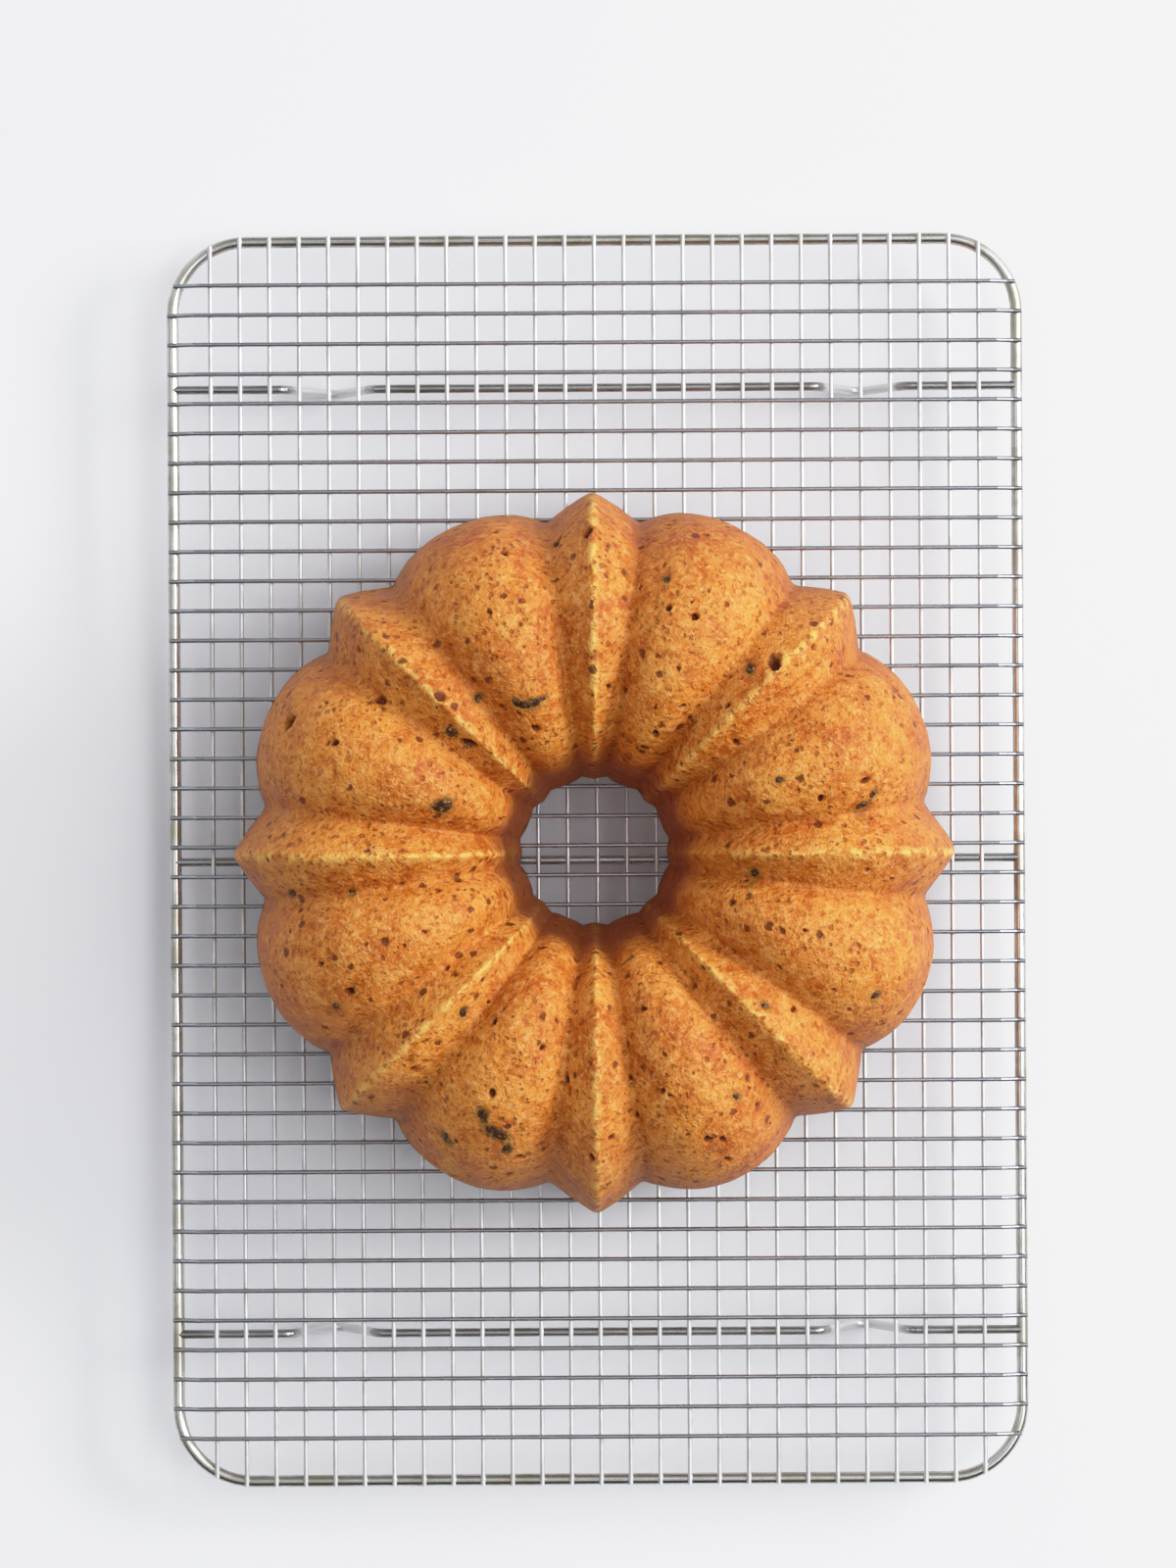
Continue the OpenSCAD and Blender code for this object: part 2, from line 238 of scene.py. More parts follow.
LARGE_HOLES = [
    (91, 103, 4.0, 3.6, 2.4, 0), (96, 103, 3.0, 2.6, 1.8, 20), (156, 108, 6.6, 4.6, 2.8, 55),
    (138.5, 54, 5.8, 4.4, 2.8, 40), (134, 70, 4.4, 3.8, 1.4, 0), (144, 84, 4.0, 3.2, 1.2, 30),
    (159, 32, 4.0, 1.2, 1.6, 10), (73, 82, 2.4, 2.2, 1.7, 0), (67, 82, 2.6, 2.4, 1.7, 0),
    (69, 87, 1.4, 1.3, 1.2, 0), (76, 96, 1.5, 1.3, 1.2, 0), (47, 84, 6.8, 4.4, 3.2, 60),
    (48, 64, 2.4, 2.0, 1.5, 0), (63, 44, 3.2, 2.4, 1.8, 30), (38, 57, 3.6, 2.0, 1.5, 80),
    (15, 89, 3.2, 2.2, 1.6, 10), (14, 74, 3.0, 2.0, 1.5, 70), (209, 89, 3.2, 3.2, 2.0, 0),
    (201, 94, 1.8, 1.6, 1.4, 0), (217, 60, 1.8, 1.3, 1.2, 40), (223, 76, 1.4, 1.2, 1.2, 0),
    (234, 58, 1.5, 1.2, 1.2, 0), (239, 56, 1.4, 1.2, 1.2, 0), (233, 92, 1.7, 1.6, 1.4, 0),
    (246, 82, 3.0, 2.4, 1.7, 20), (241, 114, 3.6, 1.2, 1.6, 70), (287, 52, 3.2, 1.2, 1.6, 60),
    (279, 73, 2.2, 1.3, 1.4, 20), (279, 84, 1.8, 1.4, 1.3, 0), (273, 91, 3.0, 2.0, 1.8, 70),
    (269, 97, 3.2, 2.8, 1.9, 0), (271, 108, 3.2, 1.2, 1.5, 60), (291, 98, 3.4, 2.4, 1.8, 30),
    (287, 107, 3.4, 1.2, 1.5, 80), (313, 50, 1.8, 1.4, 1.3, 0), (115, 44, 2.8, 2.6, 2.1, 0),
    (118, 52, 2.4, 1.2, 1.5, 20), (138, 62, 1.8, 1.2, 1.1, 60), (43, 97, 2.6, 2.0, 1.5, 0),
    (330, 88, 1.8, 1.3, 1.3, 30), (340, 70, 1.6, 1.3, 1.2, 0), (355, 96, 1.6, 1.4, 1.2, 0),
    (170, 75, 1.7, 1.3, 1.2, 30), (188, 62, 1.5, 1.3, 1.2, 0), (260, 70, 1.6, 1.2, 1.2, 50),
    (128, 113, 2.0, 1.2, 1.4, 70), (150, 99, 1.6, 1.2, 1.2, 0), (302, 78, 1.7, 1.3, 1.2, 0),
    (291, 30.5, 9.0, 2.2, 3.0, 90), (286, 36, 5.5, 1.6, 1.8, 80)
]
SMALL_HOLE_COUNT = 170
# In millimetres: the least width of a small hole, and how much wider the widest is
SMALL_HOLE_LEAST = 1.0
SMALL_HOLE_SPREAD = 1.6
# Least and greatest length and depth of a small hole, beside its width
SMALL_HOLE_LENGTH = (1, 1.7)
SMALL_HOLE_DEPTH = (0.6, 1.0)
# The stretch of the profile that has small holes
SMALL_HOLES_FROM_TO = (0.12, 3.2)
# A hollow's edge wanders by this share of its size, and a faint rim stands round it
HOLLOW_RAGGED = 0.22
HOLLOW_RIM = 0.05 * MM

# A chip adds its length and width in millimetres, its turn, and how far its top is melted
# from 0 to 1
CHIPS = [
    (162, 51, 5.4, 4.2, 20, 0.3), (113, 53, 6.4, 3.0, 75, 0.8), (117, 55, 3.4, 2.0, 10, 0.7),
    (109, 52, 4.2, 1.8, 80, 0.8), (50, 77, 3.6, 2.4, 40, 0.8), (10, 87, 4.6, 3.6, 20, 0.9),
    (12, 91, 3.2, 2.2, 60, 0.9), (187, 98, 3.6, 2.2, 30, 0.7), (250, 94, 7.8, 3.2, 75, 0.9),
    (246, 91, 4.2, 2.8, 30, 0.8), (242, 103, 4.8, 2.8, 60, 0.8), (253, 98, 3.4, 2.4, 10, 0.8),
    (139.5, 61, 3.8, 2.8, 0, 0.5), (353, 51, 3.8, 2.4, 70, 0.7), (230, 66, 3.6, 2.6, 40, 0.8),
    (318, 72, 2.6, 1.8, 20, 0.8), (333, 100, 3.4, 2.2, 70, 0.8), (22, 64, 2.2, 1.6, 0, 0.7),
    (300, 90, 2.6, 1.8, 30, 0.7), (97, 101, 2.6, 1.8, 30, 0.6), (188, 78, 2.2, 1.6, 10, 0.7),
    (126, 62, 3.4, 1.8, 80, 0.8), (210, 96, 2.4, 1.6, 45, 0.7), (75, 92, 2.2, 1.6, 0, 0.7)
]
# Half the thickness of a chip before its top is cut off
CHIP_HALF = 1.1 * MM
# Where a chip's top is cut off and how uneven the cut is, how far below the top its middle
# is, all beside its half thickness, and how lumpy it is
CHIP_TOP = 0.75
CHIP_TOP_ROUGH = 0.15
CHIP_SUNK = 0.8
CHIP_LUMPS = 0.34
# In millimetres: how much larger a bed is than its chip, its depth under a whole chip, how
# proud of the crust that chip is, and how much less both are once it has melted
BED_MARGIN = 0.6
BED_DEPTH, BED_MELT = 0.9, 0.5
CHIP_PROUD, CHIP_MELT = 0.55, 0.4


def even_rows(count):
    """Places along the profile at even distances, further apart where less is seen."""
    t = np.linspace(0, 4, 4001)
    r, z = valley_profile(t)
    stage = [t[1:] < 1, t[1:] > HOLE_ROWS_FROM]
    share = np.select(stage, [SIDE_ROW_SHARE, HOLE_ROW_SHARE], 1.0)
    length = np.concatenate([[0], np.cumsum(np.hypot(np.diff(r), np.diff(z)) * share)])
    return np.interp(np.linspace(0, length[-1], count), length, t)


def crust_grid():
    """Points, profile places and angles of the crust as rows from the base's outer edge."""
    t, angle = np.meshgrid(even_rows(CRUST_ROWS), np.arange(ANGLE_STEPS) * TAU / ANGLE_STEPS,
                           indexing="ij")
    height = relief(angle, t)
    height = height / 2 + (np.roll(height, 1, axis=1) + np.roll(height, -1, axis=1)) / 4
    r, z = valley_profile(t)
    out, up = profile_normal(t)
    edge = BASE_SPREAD * np.exp(-(z / EDGE_HEIGHT) ** 2) * (t < 1)
    waist = WAIST_DEPTH * np.exp(-((z - WAIST_Z) / WAIST_HEIGHT) ** 2) * (t < 1)
    reach = r + out * height + edge - waist
    lift = np.maximum(z + up * height, 0)
    lift[t <= 0] = 0
    lift[t >= 4] = 0
    points = np.stack([reach * np.cos(angle), reach * np.sin(angle), lift], axis=-1)
    return points, t, angle


def base_grid(outer, inner):
    """Rows across the underside from the hole's edge to the outer edge, both left out."""
    share = (np.arange(1, BASE_ROWS) / BASE_ROWS)[:, None, None]
    return inner * (1 - share) + outer * share


def wrap_faces(rows, columns):
    """Quads between each row and the next, closed in both directions."""
    i, j = np.meshgrid(np.arange(rows), np.arange(columns), indexing="ij")
    i2, j2 = (i + 1) % rows, (j + 1) % columns
    corners = [i * columns + j, i * columns + j2, i2 * columns + j2, i2 * columns + j]
    return np.stack(corners, axis=-1).reshape(-1, 4)


def mesh_from_arrays(name, points, quads):
    mesh = bpy.data.meshes.new(name)
    mesh.vertices.add(len(points))
    mesh.vertices.foreach_set("co", points.ravel())
    mesh.loops.add(quads.size)
    mesh.loops.foreach_set("vertex_index", quads.ravel().astype(np.int32))
    mesh.polygons.add(len(quads))
    mesh.polygons.foreach_set("loop_start", (np.arange(len(quads)) * 4).astype(np.int32))
    mesh.update(calc_edges=True)
    return mesh


def point_values(mesh, name, values):
    """Writes one number for each of a mesh's points, for its material to read."""
    layer = mesh.attributes.get(name) or mesh.attributes.new(name, "FLOAT", "POINT")
    layer.data.foreach_set("value", np.asarray(values, dtype=np.float32).ravel())


def add_object(name, data):
    made = bpy.data.objects.new(name, data)
    bpy.context.collection.objects.link(made)
    return made


def smooth_shade(mesh):
    mesh.polygons.foreach_set("use_smooth", [True] * len(mesh.polygons))


def read_points(mesh):
    points = np.empty(len(mesh.vertices) * 3)
    mesh.vertices.foreach_get("co", points)
    return points.reshape(-1, 3)


def read_normals(mesh):
    normals = np.empty(len(mesh.vertices) * 3)
    mesh.vertex_normals.foreach_get("vector", normals)
    return normals.reshape(-1, 3)


# ---- Cake ----

# Widths of the painted shade along each valley and of the painted highlight along each crest
CREASE_SHADE_WIDTH = 3.4 * MM
CREST_HIGHLIGHT_WIDTH = 1.4 * MM


def crust_marks(t, angle, radius):
    """What the crust's material reads, from 0 to 1: nearness to a valley, for painted shade in the
    creases, nearness to a ridge's crest, for a painted highlight, depth into the hole, for
    painted shade down its wall, nearness to the base's outer edge, and nearness to the side
    and outer shoulder, for painted shade there."""
    phase = flute_phase(angle)
    from_valley = np.abs(phase - ridge_half_angle(t)) * radius
    return {
        "crease_shade": np.exp(-(from_valley / CREASE_SHADE_WIDTH) ** 2),
        "crest_highlight": np.exp(-(phase * radius / CREST_HIGHLIGHT_WIDTH) ** 2),
        "tube": smooth((t - 3.0) / 0.4),
        "low": 1 - smooth((t - 0.1) / 0.7),
        "shoulder": 1 - smooth((t - 1.2) / 0.6)
    }


def place_on_crust(points, t, angle_deg, radius_mm):
    """The crust's point above a place in plan, with its outward normal and radial tangent."""
    column = round(angle_deg / 360 * ANGLE_STEPS) % ANGLE_STEPS
    plan_r = np.hypot(points[:, column, 0], points[:, column, 1])
    plan_r[(t[:, column] < 0.2) | (t[:, column] > 3.7)] = math.inf
    row = int(np.argmin(np.abs(plan_r - radius_mm * MM)))
    return frame_on_crust(points, row, column)


def frame_on_crust(points, row, column):
    """A point of the crust's grid, with its outward normal and radial tangent."""
    inward = points[row + 1, column] - points[row - 1, column]
    around = (points[row, (column + 1) % ANGLE_STEPS]
              - points[row, (column - 1) % ANGLE_STEPS])
    radial = -inward / np.linalg.norm(inward)
    normal = np.cross(radial, around)
    normal /= np.linalg.norm(normal)
    return points[row, column], normal, radial


def random_places(points, t, count):
    """Places spread evenly over the crust, down to a little way into the hole."""
    low, high = SMALL_HOLES_FROM_TO
    rows = np.where((t[:, 0] > low) & (t[:, 0] < high))[0]
    step = np.linalg.norm(points[rows + 1, 0] - points[rows - 1, 0], axis=1)
    weight = np.hypot(points[rows, 0, 0], points[rows, 0, 1]) * step
    chosen = random.choice(rows, size=count, p=weight / weight.sum())
    return [frame_on_crust(points, int(row), int(random.integers(ANGLE_STEPS)))
            for row in chosen]


def hollow(spot, length, width, depth, turn):
    """One hole in the crust, with its own axes. Lengths are in millimetres, turns in degrees."""
    centre, normal, radial = spot
    side = np.cross(normal, radial)
    turn = math.radians(turn)
    along = radial * math.cos(turn) + side * math.sin(turn)
    across = np.cross(normal, along)
    return {"centre": centre, "normal": normal, "along": along, "across": across,
            "length": length * MM, "width": width * MM, "depth": depth * MM}


def list_hollows(points, t):
    holes = [hollow(place_on_crust(points, t, a, r), length, width, depth, turn)
             for a, r, length, width, depth, turn in LARGE_HOLES]
    for spot in random_places(points, t, SMALL_HOLE_COUNT):
        width = SMALL_HOLE_LEAST + SMALL_HOLE_SPREAD * float(random.uniform(0, 1)) ** 2
        length = width * random.uniform(*SMALL_HOLE_LENGTH)
        depth = width * random.uniform(*SMALL_HOLE_DEPTH)
        holes.append(hollow(spot, length, width, depth, random.uniform(0, 180)))
    return holes


def list_chip_beds(points, t):
    return [hollow(place_on_crust(points, t, a, r), length + BED_MARGIN, width + BED_MARGIN,
                   BED_DEPTH - BED_MELT * melted, turn)
            for a, r, length, width, turn, melted in CHIPS]


def refine_near(mesh, hollows):
    """Cuts the faces round each hollow three ways, so that its wall has points to bend."""
    bm = bmesh.new()
    bm.from_mesh(mesh)
    bm.faces.ensure_lookup_table()
    centres = np.array([f.calc_center_median() for f in bm.faces])
    near = np.zeros(len(centres), dtype=bool)
    for h in hollows:
        reach = h["length"] / 2 + 0.7 * MM
        near |= ((centres - h["centre"]) ** 2).sum(axis=1) < reach ** 2
    edges = {edge for index in np.where(near)[0] for edge in bm.faces[index].edges}
    bmesh.ops.subdivide_edges(bm, edges=list(edges), cuts=2, use_grid_fill=True)
    bm.to_mesh(mesh)
    bm.free()


def carve(points, hollows):
    """Sinks each hollow into the points. Returns how deep in a hollow each point is, and how
    close to one, both from 0 to 1."""
    inside = np.zeros(len(points))
    beside = np.zeros(len(points))
    for number, h in enumerate(hollows):
        offset = points - h["centre"]
        close = np.where((offset ** 2).sum(axis=1) < (h["length"] * 1.3) ** 2)[0]
        local = offset[close]
        u = local @ h["along"] / (h["length"] / 2)
        v = local @ h["across"] / (h["width"] / 2)
        edge = 1 + HOLLOW_RAGGED * soft_noise(points[close] + number, 0.9 * MM, 31)
        s = np.hypot(u, v) / edge
        sunk = 1 - smooth((s - 0.5) / 0.65)
        raised = HOLLOW_RIM * np.exp(-((s - 1.35) / 0.25) ** 2)
        points[close] += h["normal"] * (raised - h["depth"] * sunk)[:, None]
        inside[close] = np.maximum(inside[close], 1 - smooth((s - 0.6) / 0.6))
        beside[close] = np.maximum(beside[close], 1 - smooth((s - 1.0) / 0.9))
    return inside, beside


def crust_swell(points, under):
    """The uneven surface of a baked crust, finer and finer, in metres along the normal."""
    swell = sum(height * rough_noise(points, size, seed, 2) for height, size, seed in SWELLS)
    return np.where(under, 0, swell)


# How far the underside is above the edge round it, how rough it is and its least height
UNDER_RISE = 0.5 * MM
UNDER_ROUGH = 0.35 * MM
UNDER_LEAST = 0.1 * MM


def build_cake(crust, crumb):
    grid, t, angle = crust_grid()
    radius = np.hypot(grid[..., 0], grid[..., 1])
    base = base_grid(grid[0], grid[-1])
    rows = len(grid) + len(base)
    points = np.concatenate([grid, base]).reshape(-1, 3)
    quads = wrap_faces(rows, ANGLE_STEPS)
    mesh = mesh_from_arrays("cake", points, quads)
    mesh.materials.append(crust)
    mesh.materials.append(crumb)
    on_base = np.repeat(np.arange(rows) >= len(grid) - 1, ANGLE_STEPS)
    mesh.polygons.foreach_set("material_index", on_base.astype(np.int32))
    for name, values in crust_marks(t, angle, radius).items():
        tail = np.zeros(base.shape[:2])
        point_values(mesh, name, np.concatenate([values, tail]))
    under = np.repeat(np.arange(rows) >= len(grid), ANGLE_STEPS)
    point_values(mesh, "under", under)

    holes = list_hollows(grid, t)
    beds = list_chip_beds(grid, t)
    refine_near(mesh, holes + beds)
    points = read_points(mesh)
    normals = read_normals(mesh)
    under = np.empty(len(points), dtype=np.float32)
    mesh.attributes["under"].data.foreach_get("value", under)
    points += normals * crust_swell(points, under > 0.01)[:, None]
    pit_shade, _ = carve(points, holes)
    _, stain = carve(points, beds)
    # How deep each point is in a hole, kept for the painted shade inside the holes
    point_values(mesh, "pit_shade", pit_shade)
    point_values(mesh, "stain", stain)
    # The underside is rough and a little hollow, and never lower than the edge it stands on
    rise = UNDER_RISE + UNDER_ROUGH * rough_noise(points, 6 * MM, 41, 3)
    raised = np.maximum(points[:, 2] + rise, UNDER_LEAST)
    points[:, 2] = np.where(under > 0.01, raised, points[:, 2])
    points[:, 2] = np.maximum(points[:, 2], 0)
    points += cake_place
    mesh.vertices.foreach_set("co", points.ravel())
    smooth_shade(mesh)
    mesh.update()
    return add_object("cake", mesh), grid, t


# ---- Chips ----

def build_chips(grid, t, chocolate):
    """Each chip is a lumpy lens set into its bed, its top level with the crust or a little proud."""
    whole = bmesh.new()
    for number, (angle, radius, length, width, turn, melted) in enumerate(CHIPS):
        h = hollow(place_on_crust(grid, t, angle, radius), length, width, 1, turn)
        proud = (CHIP_PROUD - CHIP_MELT * melted) * MM
        lump = bmesh.new()
        bmesh.ops.create_icosphere(lump, subdivisions=4, radius=1)
        unit = np.array([v.co for v in lump.verts])
        grain = 1 + CHIP_LUMPS * rough_noise(unit + number * 7, 0.9, 51, 3)
        unit *= grain[:, None]
        top = CHIP_TOP + CHIP_TOP_ROUGH * soft_noise(unit + number, 0.5, 61)
        unit[:, 2] = np.minimum(unit[:, 2], top)
        centre = h["centre"] + h["normal"] * (proud - CHIP_HALF * CHIP_SUNK)
        placed = (centre + unit[:, :1] * h["along"] * h["length"] / 2
                  + unit[:, 1:2] * h["across"] * h["width"] / 2
                  + unit[:, 2:] * h["normal"] * CHIP_HALF)
        placed += cake_place
        for vertex, place in zip(lump.verts, placed):
            vertex.co = place
        part = bpy.data.meshes.new("lump")
        lump.to_mesh(part)
        lump.free()
        whole.from_mesh(part)
        bpy.data.meshes.remove(part)
    mesh = bpy.data.meshes.new("chips")
    whole.to_mesh(mesh)
    whole.free()
    mesh.materials.append(chocolate)
    smooth_shade(mesh)
    return add_object("chips", mesh)


# ---- Rack ----

def nodes_called(start):
    return sorted(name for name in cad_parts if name.startswith(start))


# The least and greatest half sizes of a weld, in millimetres, along each of its axes
WELD_SIZES = [(0.75, 0.95), (0.75, 0.95), (0.28, 0.4)]


def build_welds(steel):
    """A small flattened swelling at each crossing of the two layers of wires."""
    wires = [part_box(name) for name in nodes_called("long_wire")]
    pairs = [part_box(name) for name in nodes_called("cross_wire")]
    halves = [(high[1] - low[1]) / 2 - GRID_WIRE_D / 2 for low, high in pairs]
    level = wires[0][1][2]
    bm = bmesh.new()
    for low, high in wires:
        x = (low[0] + high[0]) / 2
        for y in [y for half in halves for y in (-half, half)]:
            if abs(y) > high[1]:
                continue
            spin = Matrix.Rotation(random.uniform(0, TAU), 4, "Z")
            size = [random.uniform(*limits) for limits in WELD_SIZES]
            shape = Matrix.Diagonal([s * MM for s in size] + [1])
            place = Matrix.Translation((x, y, level)) @ spin @ shape
            bmesh.ops.create_icosphere(bm, subdivisions=1, radius=1, matrix=place)
    mesh = bpy.data.meshes.new("welds")
    bm.to_mesh(mesh)
    bm.free()
    mesh.materials.append(steel)
    smooth_shade(mesh)
    return add_object("welds", mesh)


# ---- Materials ----

class Surface:
    """A node material under construction. Values that are the same all over are set on sockets."""

    def __init__(self, name):
        self.material = bpy.data.materials.new(name)
        self.material.use_nodes = True
        self.tree = self.material.node_tree
        self.tree.nodes.clear()
        output = self.tree.nodes.new("ShaderNodeOutputMaterial")
        self.shader = self.tree.nodes.new("ShaderNodeBsdfPrincipled")
        self.tree.links.new(self.shader.outputs[0], output.inputs["Surface"])
        self.place = self.tree.nodes.new("ShaderNodeTexCoord").outputs["Object"]

    def put(self, socket, value):
        if isinstance(value, bpy.types.NodeSocket):
            self.tree.links.new(value, socket)
        else:
            socket.default_value = value

    def set(self, **inputs):
        for name, value in inputs.items():
            self.put(self.shader.inputs[name.replace("_", " ")], value)

    def attribute(self, name):
        node = self.tree.nodes.new("ShaderNodeAttribute")
        node.attribute_name = name
        return node.outputs["Fac"]

    def stretched(self, x, y, z):
        """The object's coordinates, scaled along each axis."""
        node = self.tree.nodes.new("ShaderNodeMapping")
        self.put(node.inputs["Vector"], self.place)
        node.inputs["Scale"].default_value = (x, y, z)
        return node.outputs[0]

    def noise(self, size, detail=2.0, roughness=0.5, distortion=0.0, place=None):
        node = self.tree.nodes.new("ShaderNodeTexNoise")
        self.put(node.inputs["Vector"], place or self.place)
        node.inputs["Scale"].default_value = 1 / size
        node.inputs["Detail"].default_value = detail
        node.inputs["Roughness"].default_value = roughness
        node.inputs["Distortion"].default_value = distortion
        return node.outputs["Fac"]

    def warped(self, size, amount):
        """The object's coordinates, pushed about by noise."""
        noise = self.tree.nodes.new("ShaderNodeTexNoise")
        self.put(noise.inputs["Vector"], self.place)
        noise.inputs["Scale"].default_value = 1 / size
        noise.inputs["Detail"].default_value = 2.0
        push = self.tree.nodes.new("ShaderNodeVectorMath")
        push.operation = "MULTIPLY_ADD"
        self.put(push.inputs[0], noise.outputs["Color"])
        push.inputs[1].default_value = (amount, amount, amount)
        self.put(push.inputs[2], self.place)
        return push.outputs["Vector"]

    def cells(self, size, place=None):
        """Distance from the middle of the nearest cell, and a random value for that cell."""
        node = self.tree.nodes.new("ShaderNodeTexVoronoi")
        self.put(node.inputs["Vector"], place or self.place)
        node.inputs["Scale"].default_value = 1 / size
        return node.outputs["Distance"], node.outputs["Color"]

    def math(self, operation, a, b=0.0, c=0.0):
        node = self.tree.nodes.new("ShaderNodeMath")
        node.operation = operation
        for socket, value in zip(node.inputs, (a, b, c)):
            self.put(socket, value)
        return node.outputs[0]

    def fit(self, value, low, high, to_low=0.0, to_high=1.0):
        """Goes smoothly from to_low to to_high as the value goes from low to high."""
        node = self.tree.nodes.new("ShaderNodeMapRange")
        node.interpolation_type = "SMOOTHSTEP"
        for socket, number in zip(node.inputs, (value, low, high, to_low, to_high)):
            self.put(socket, number)
        return node.outputs[0]

    def blend(self, share, a, b):
        """The colour a where share is 0, and b where it is 1."""
        node = self.tree.nodes.new("ShaderNodeMix")
        node.data_type = "RGBA"
        self.put(node.inputs["Factor"], share)
        for socket, colour in ((node.inputs[6], a), (node.inputs[7], b)):
            self.put(socket, colour)
        return node.outputs[2]

    def bump(self, height, distance):
        node = self.tree.nodes.new("ShaderNodeBump")
        node.inputs["Distance"].default_value = distance
        self.put(node.inputs["Height"], height)
        return node.outputs[0]

    def paint(self, colour, layers):
        """Lays colours over a first one. Each layer has a noise, the values of it at which the
        layer starts and is full, its greatest share, and its colour."""
        for noise, start, full, most, tint in layers:
            colour = self.blend(self.fit(noise, start, full, 0.0, most), colour, rgb(*tint))
        return colour


def rgb(red, green, blue):
    """A colour given as it looks on a screen, from 0 to 255."""
    def linear(value):
        v = value / 255
        return v / 12.92 if v <= 0.04045 else ((v + 0.055) / 1.055) ** 2.4
    return (linear(red), linear(green), linear(blue), 1.0)


def pores(surface, size, widest, share, ragged):
    """Ragged pores, one in a cell at most: 1 in their middles and 0 outside."""
    place = surface.warped(size * 0.45, ragged)
    distance, cell = surface.cells(size, place=place)
    split = surface.tree.nodes.new("ShaderNodeSeparateColor")
    surface.put(split.inputs[0], cell)
    radius = surface.fit(split.outputs[0], 1 - share, 1.0, 0.0, widest)
    return surface.fit(surface.math("SUBTRACT", radius, distance), -0.06, 0.14)


def crust_material():
    s = Surface("crust")
    broad = s.noise(30 * MM, 3.0)
    patches = s.noise(9 * MM, 3.0, 0.6)
    blots = s.noise(3.6 * MM, 2.0, 0.6, 0.4)
    grain = s.noise(1.7 * MM, 2.0, 0.6, 0.9)
    speckle = s.noise(0.8 * MM, 2.0, 0.6)
    colour = s.blend(s.fit(broad, 0.36, 0.64), rgb(194, 106, 28), rgb(214, 132, 46))
    colour = s.paint(colour, [
        (patches, 0.40, 0.66, 0.5, (226, 156, 72)),
        (patches, 0.46, 0.30, 0.55, (170, 74, 14)),
        (blots, 0.54, 0.70, 0.5, (230, 168, 92)),
        (blots, 0.46, 0.30, 0.6, (154, 62, 10)),
        (grain, 0.52, 0.70, 0.5, (234, 176, 104)),
        (grain, 0.48, 0.30, 0.55, (146, 58, 8)),
        (speckle, 0.62, 0.78, 0.2, (244, 206, 146))
    ])
    # Painted shade: the side and the outer shoulder are darkened for the shade that falls there.
    shoulder = s.math("MULTIPLY", s.attribute("shoulder"), s.fit(patches, 0.3, 0.7, 0.55, 0.3))
    colour = s.blend(shoulder, colour, rgb(158, 72, 18))
    # Painted highlight: a pale line along each ridge's crest, where it catches the light.
    crest_highlight = s.math("MULTIPLY", s.attribute("crest_highlight"), s.fit(blots, 0.42, 0.60, 0.05, 0.75))
    colour = s.blend(crest_highlight, colour, rgb(240, 192, 100))
    # Painted shade: the valleys between the flutes are darkened for the shade in them.
    crease_shade = s.math("MULTIPLY", s.attribute("crease_shade"), s.fit(patches, 0.3, 0.6, 0.4, 0.15))
    colour = s.blend(crease_shade, colour, rgb(150, 70, 18))
    colour = s.blend(s.math("MULTIPLY", s.attribute("low"), 0.35), colour, rgb(214, 156, 92))
    # Painted shade: the wall down into the hole is darkened for the shade inside it.
    colour = s.blend(s.math("MULTIPLY", s.attribute("tube"), 0.45), colour, rgb(160, 58, 8))
    fine = pores(s, 2.2 * MM, 0.42, 0.7, 1.2 * MM)
    coarse = pores(s, 5.5 * MM, 0.30, 0.6, 2.6 * MM)
    porous = s.fit(s.noise(22 * MM, 2.0), 0.38, 0.60, 0.3, 0.85)
    both = s.math("MAXIMUM", s.math("MULTIPLY", fine, porous), coarse)
    colour = s.blend(s.math("MULTIPLY", both, 0.7), colour, rgb(132, 58, 14))
    colour = s.blend(s.fit(coarse, 0.5, 1.0, 0.0, 0.7), colour, rgb(96, 38, 12))
    smear = s.math("MULTIPLY", s.attribute("stain"), s.fit(grain, 0.4, 0.6, 0.25, 0.8))
    colour = s.blend(smear, colour, rgb(112, 84, 36))
    # Painted shade: the inside of each hole in the crust is darkened.
    colour = s.blend(s.attribute("pit_shade"), colour, rgb(100, 38, 12))
    height = s.math("SUBTRACT", s.math("MULTIPLY", grain, 0.8), both)
    height = s.math("ADD", height, s.math("MULTIPLY", blots, 1.6))
    height = s.math("ADD", height, s.math("MULTIPLY", speckle, 0.15))
    s.set(Base_Color=colour, Roughness=s.fit(patches, 0.3, 0.7, 0.45, 0.65),
          Specular_IOR_Level=0.25, Normal=s.bump(height, 0.65 * MM))
    return s.material


def crumb_material():
    s = Surface("crumb")
    patches = s.noise(12 * MM, 4.0, 0.6)
    grain = s.noise(1.6 * MM, 3.0, 0.6, 0.8)
    colour = s.blend(s.fit(patches, 0.3, 0.7), rgb(204, 136, 66), rgb(158, 86, 32))
    colour = s.paint(colour, [(grain, 0.45, 0.7, 0.6, (236, 190, 120))])
    holes = pores(s, 3.2 * MM, 0.42, 0.8, 1.0 * MM)
    colour = s.blend(s.math("MULTIPLY", holes, 0.8), colour, rgb(110, 58, 24))
    height = s.math("SUBTRACT", grain, holes)
    s.set(Base_Color=colour, Roughness=s.fit(grain, 0.3, 0.7, 0.7, 0.9),
          Specular_IOR_Level=0.25, Normal=s.bump(height, 0.6 * MM))
    return s.material


